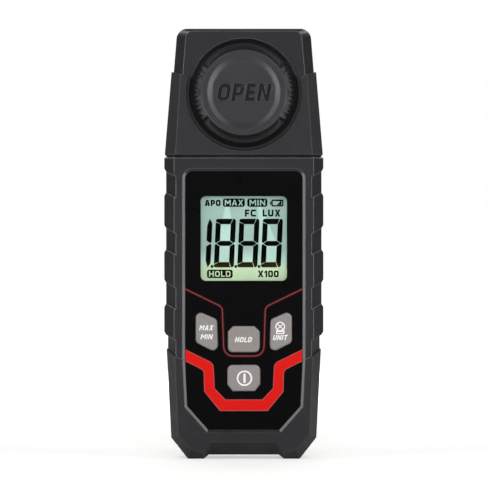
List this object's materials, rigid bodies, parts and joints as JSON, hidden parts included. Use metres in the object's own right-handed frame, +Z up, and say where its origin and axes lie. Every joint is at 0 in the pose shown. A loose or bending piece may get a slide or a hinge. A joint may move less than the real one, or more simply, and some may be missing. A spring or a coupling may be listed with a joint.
{
  "type": "lux meter",
  "caption": "Handheld light meter with a swivelling sensor head, push-on dome cap, display, keys and a battery door.",
  "frame": {"origin": "centre of the bounding box's base, on the ground under the feet, with the cap on", "axes": "+Z up along the length, display towards -Y, +X to the right as the display is read"},
  "size_m": [0.0592, 0.036, 0.16],
  "materials": {
    "soft_grey": "moulded soft-touch elastomer, matt",
    "shell_grey": "moulded plastic with a fine spark-eroded grain",
    "cap_grey": "moulded plastic, fine grain, satin bevel",
    "panel_black": "printed polycarbonate film, satin black",
    "window_clear": "clear moulded lens, polished",
    "key_rubber": "moulded silicone rubber, matt, printed legends",
    "lcd_glass": "liquid crystal cell with a pale green reflector",
    "holder_white": "plain moulded plastic",
    "foam_black": "closed-cell foam and conductive rubber",
    "guide_clear": "clear moulded light guide",
    "lamp_white": "side-emitting lamps",
    "board_green": "glass-fibre board with solder resist",
    "chip_black": "moulded epoxy",
    "crystal_can": "drawn steel can",
    "capacitor_can": "drawn aluminium cans",
    "socket_white": "moulded nylon",
    "switch_black": "moulded switch housings",
    "plunger_white": "moulded acetal",
    "cell_jacket": "printed film round a drawn can, plain",
    "contact_nickel": "nickel-plated spring steel",
    "insert_brass": "turned brass",
    "screw_steel": "zinc-plated steel, cross slot",
    "washer_white": "low-friction fluoroplastic",
    "neck_black": "turned acetal",
    "cable_black": "soft insulated lead",
    "dome_white": "opal light diffuser",
    "ring_black": "moulded plastic, matt black",
    "filter_green": "colour-correcting filter glass",
    "diode_dark": "silicon photodiode in clear resin"
  },
  "bodies": {
    "body": {"bumper": "soft_grey", "front_shell": "shell_grey", "back_shell": "shell_grey", "case_screws": "screw_steel", "overlay_panel": "panel_black", "display_window": "window_clear", "lcd_gasket": "foam_black", "lcd_glass": "lcd_glass", "lcd_holder": "holder_white", "zebra_strip": "foam_black", "light_guide": "guide_clear", "backlight_lamps": "lamp_white", "main_board": "board_green", "board_screws": "screw_steel", "controller_chip": "chip_black", "amplifier_chip": "chip_black", "crystal": "crystal_can", "capacitors": "capacitor_can", "wire_socket": "socket_white", "key_switches": "switch_black", "cell_left": "cell_jacket", "cell_middle": "cell_jacket", "cell_right": "cell_jacket", "top_contacts": "contact_nickel", "bottom_contacts": "contact_nickel", "contact_springs": "contact_nickel", "door_inserts": "insert_brass", "friction_washer": "washer_white", "lower_sensor_cable": "cable_black"},
    "head": {"head_front_shell": "shell_grey", "head_back_shell": "shell_grey", "head_collar": "soft_grey", "head_screws": "screw_steel", "diffuser_dome": "dome_white", "dome_ring": "ring_black", "light_filter": "filter_green", "sensor_holder": "ring_black", "photodiode": "diode_dark", "sensor_board": "board_green", "sensor_board_screws": "screw_steel", "swivel_neck": "neck_black", "upper_sensor_cable": "cable_black"},
    "cap": {"sensor_cap": "cap_grey"},
    "hold_key": {"key_hold": "key_rubber", "plunger_hold": "plunger_white"},
    "power_key": {"key_power": "key_rubber", "plunger_power": "plunger_white"},
    "unit_key": {"key_unit": "key_rubber", "plunger_unit": "plunger_white"},
    "max_min_key": {"key_max_min": "key_rubber", "plunger_max_min": "plunger_white"},
    "door": {"battery_door": "shell_grey", "door_screws": "screw_steel"}
  },
  "joints": [
    {"name": "head_swivel", "type": "hinge", "parent": "body", "child": "head", "pos_m": [0, 0.002, 0.1125], "axis": [0, 0, 1], "range_deg": [-90, 180]},
    {"name": "cap_pull", "type": "slide", "parent": "head", "child": "cap", "axis": [0, -1, 0], "range_m": [0, 0.02]},
    {"name": "hold_press", "type": "slide", "parent": "body", "child": "hold_key", "axis": [0, 1, 0], "range_m": [0, 0.0007], "stiffness_N_per_m": 2000},
    {"name": "power_press", "type": "slide", "parent": "body", "child": "power_key", "axis": [0, 1, 0], "range_m": [0, 0.0007], "stiffness_N_per_m": 2000},
    {"name": "unit_press", "type": "slide", "parent": "body", "child": "unit_key", "axis": [0, 1, 0], "range_m": [0, 0.0007], "stiffness_N_per_m": 2000},
    {"name": "max_min_press", "type": "slide", "parent": "body", "child": "max_min_key", "axis": [0, 1, 0], "range_m": [0, 0.0007], "stiffness_N_per_m": 2000},
    {"name": "door_pull", "type": "slide", "parent": "body", "child": "door", "axis": [0, 1, 0], "range_m": [0, 0.025]}
  ]
}
